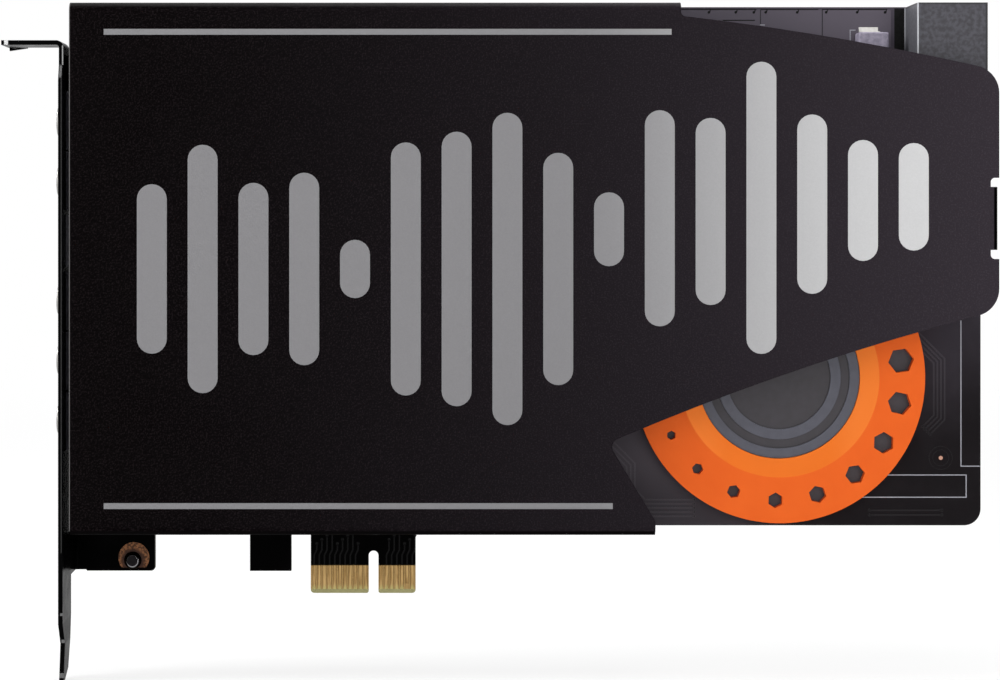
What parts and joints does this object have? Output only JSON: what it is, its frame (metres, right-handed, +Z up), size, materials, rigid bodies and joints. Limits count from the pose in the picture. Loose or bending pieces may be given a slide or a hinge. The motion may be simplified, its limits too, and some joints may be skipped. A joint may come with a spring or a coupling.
{
  "type": "sound card",
  "caption": "Shielded PCI Express sound card with a full-height slot bracket, audio jacks, edge connector, folded metal shield, orange trim ring and power inlet.",
  "frame": {"origin": "centre of the edge connector's key notch, at the connector's tip, halfway through the board", "axes": "+X from the slot bracket towards the rear of the board, +Y out of the solder side, +Z up from the connector's tip"},
  "size_m": [0.1871, 0.0186, 0.1274],
  "materials": {
    "board": "satin solder mask",
    "gold": "gold plated",
    "nickel": "nickel plated",
    "bracket_paint": "gloss black",
    "shield_paint": "satin black",
    "screw_steel": "black plated",
    "smoked_plastic": "smooth",
    "orange_plastic": "smooth",
    "moulded_black": "fine moulded grain",
    "tin": "tin plated",
    "emitter": "clear red",
    "chip": "moulded epoxy",
    "ferrite": "pressed powder",
    "can": "drawn",
    "film": "moulded",
    "ceramic": "fired"
  },
  "bodies": {
    "root": {"audio_processor": "chip", "bracket_screws": "screw_steel", "bus_bridge_chip": "chip", "ceramic_capacitors": "ceramic", "chip_resistors": "chip", "clock_oscillators": "tin", "coupling_capacitors": "film", "edge_contacts": "gold", "emi_shield": "shield_paint", "headphone_amplifier": "chip", "inductor_terminals": "tin", "io_bracket": "bracket_paint", "jack_1_bushing": "nickel", "jack_1_contacts": "tin", "jack_1_housing": "moulded_black", "jack_2_bushing": "nickel", "jack_2_contacts": "tin", "jack_2_housing": "moulded_black", "jack_3_bushing": "nickel", "jack_3_contacts": "tin", "jack_3_housing": "moulded_black", "jack_4_bushing": "nickel", "jack_4_contacts": "tin", "jack_4_housing": "moulded_black", "jack_5_bushing": "nickel", "jack_5_contacts": "tin", "jack_5_housing": "moulded_black", "op_amps": "chip", "optical_output_emitter": "emitter", "optical_output_housing": "moulded_black", "optical_output_pins": "tin", "pcb": "board", "playback_converter": "chip", "power_inductors": "ferrite", "power_inlet_housing": "moulded_black", "power_inlet_pins": "tin", "recording_converter": "chip", "reservoir_capacitor_bases": "moulded_black", "reservoir_capacitor_cans": "can", "reservoir_capacitor_leads": "tin", "ring_base": "smoked_plastic", "shield_screws": "screw_steel", "trim_ring": "orange_plastic", "voltage_regulators": "chip"}
  },
  "joints": []
}
